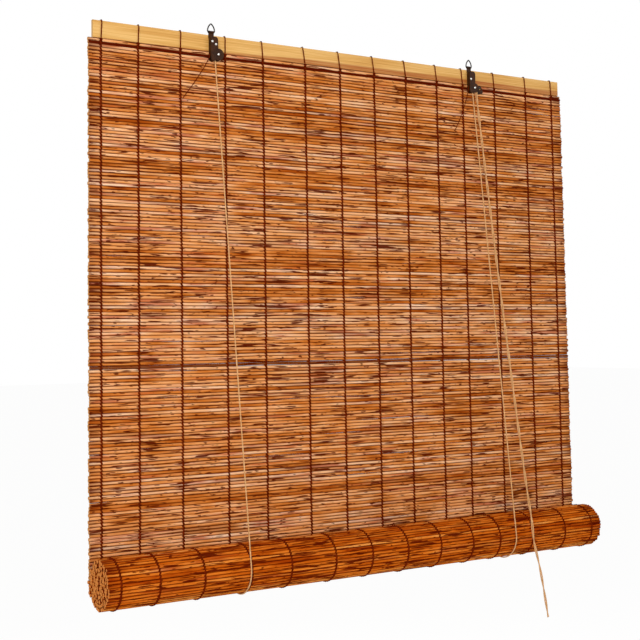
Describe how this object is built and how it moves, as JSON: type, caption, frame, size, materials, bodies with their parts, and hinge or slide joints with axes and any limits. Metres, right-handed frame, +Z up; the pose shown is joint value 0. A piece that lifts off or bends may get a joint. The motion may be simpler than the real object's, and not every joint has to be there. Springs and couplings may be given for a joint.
{
  "type": "bamboo roll-up blind",
  "caption": "Roll-up window blind of bamboo reeds tied with dark strings, hung by wire rings on a wooden batten, with pulley, cord lock, lift cords and its lower part rolled up.",
  "frame": {"origin": "midway between the two hanger rings, at the height where the hooks bear", "axes": "+X along the width to the viewer's right, -Y towards the viewer in the room, +Z up"},
  "size_m": [1.0049, 0.0911, 1.0366],
  "materials": {
    "batten": "bare bamboo slat, planed",
    "reed": "stained bamboo reed with darker streaks",
    "roll_reed": "stained bamboo reed, outer face",
    "string": "dark brown twisted cotton string",
    "cord": "tan twisted cord",
    "casing": "dark bronze lacquered steel sheet",
    "bright_steel": "bright rivet heads",
    "ring_wire": "dark steel wire",
    "wheel": "turned brass, unseen and guessed"
  },
  "bodies": {
    "headrail": {"batten": "batten", "reed_mat": "reed", "mat_string_01": "string", "mat_string_02": "string", "mat_string_03": "string", "mat_string_04": "string", "mat_string_05": "string", "mat_string_06": "string", "mat_string_07": "string", "mat_string_08": "string", "mat_string_09": "string", "mat_string_10": "string", "mat_string_11": "string", "mat_string_12": "string", "mat_string_13": "string", "mat_string_14": "string", "pulley_case": "casing", "lock_case": "casing", "case_nails": "bright_steel", "pulley_axle": "bright_steel", "guide_axle": "bright_steel", "lift_cord_front_left": "cord", "lift_cord_front_right": "cord", "lift_cord_back_left": "cord", "lift_cord_back_right": "cord", "cord_knot_left": "cord", "cord_knot_right": "cord", "cross_cord": "cord", "lock_cord": "cord", "pull_cord": "cord", "tie_string_left": "string", "tie_string_right": "string"},
    "ring_left": {"hanger_ring_left": "ring_wire"},
    "ring_right": {"hanger_ring_right": "ring_wire"},
    "pulley": {"pulley_wheel": "wheel"},
    "guide": {"guide_wheel": "wheel"},
    "lock": {"lock_roller": "wheel", "lock_pin": "ring_wire"},
    "cord_loops": {"cord_loop_left": "cord", "cord_loop_right": "cord", "pull_cord_tail": "cord"},
    "roll": {"reed_roll": "roll_reed", "roll_string_01": "string", "roll_string_02": "string", "roll_string_03": "string", "roll_string_04": "string", "roll_string_05": "string", "roll_string_06": "string", "roll_string_07": "string", "roll_string_08": "string", "roll_string_09": "string", "roll_string_10": "string", "roll_string_11": "string", "roll_string_12": "string", "roll_string_13": "string", "roll_string_14": "string"}
  },
  "joints": [
    {"name": "roll_lift", "type": "slide", "parent": "headrail", "child": "cord_loops", "axis": [0, 0, 1], "range_m": [0, 0.70215], "deforming": ["reed_mat", "mat_string_01", "mat_string_02", "mat_string_03", "mat_string_04", "mat_string_05", "mat_string_06", "mat_string_07", "mat_string_08", "mat_string_09", "mat_string_10", "mat_string_11", "mat_string_12", "mat_string_13", "mat_string_14", "lift_cord_front_left", "lift_cord_front_right", "lift_cord_back_left", "lift_cord_back_right", "pull_cord"]},
    {"name": "roll_turn", "type": "hinge", "parent": "cord_loops", "child": "roll", "pos_m": [0, -0.03725, -0.884], "axis": [1, 0, 0], "continuous": true},
    {"name": "pulley_turn", "type": "hinge", "parent": "headrail", "child": "pulley", "pos_m": [-0.2664, -0.00735, -0.0512], "axis": [0, 1, 0], "continuous": true},
    {"name": "guide_turn", "type": "hinge", "parent": "headrail", "child": "guide", "pos_m": [0.2838, -0.00735, -0.0525], "axis": [0, 1, 0], "continuous": true},
    {"name": "lock_slide", "type": "slide", "parent": "headrail", "child": "lock", "axis": [0.7071, 0, -0.7071], "range_m": [0, 0.004]},
    {"name": "ring_left_swing", "type": "hinge", "parent": "headrail", "child": "ring_left", "pos_m": [-0.276, -0.00345, -0.013], "axis": [1, 0, 0], "range_deg": [-80, 80]},
    {"name": "ring_right_swing", "type": "hinge", "parent": "headrail", "child": "ring_right", "pos_m": [0.276, -0.00345, -0.013], "axis": [1, 0, 0], "range_deg": [-80, 80]}
  ],
  "couplings": [
    {"joint": "roll_turn", "follows": "roll_lift", "rad_per_m": -26.846},
    {"joint": "pulley_turn", "follows": "roll_lift", "rad_per_m": 400},
    {"joint": "guide_turn", "follows": "roll_lift", "rad_per_m": 400}
  ]
}
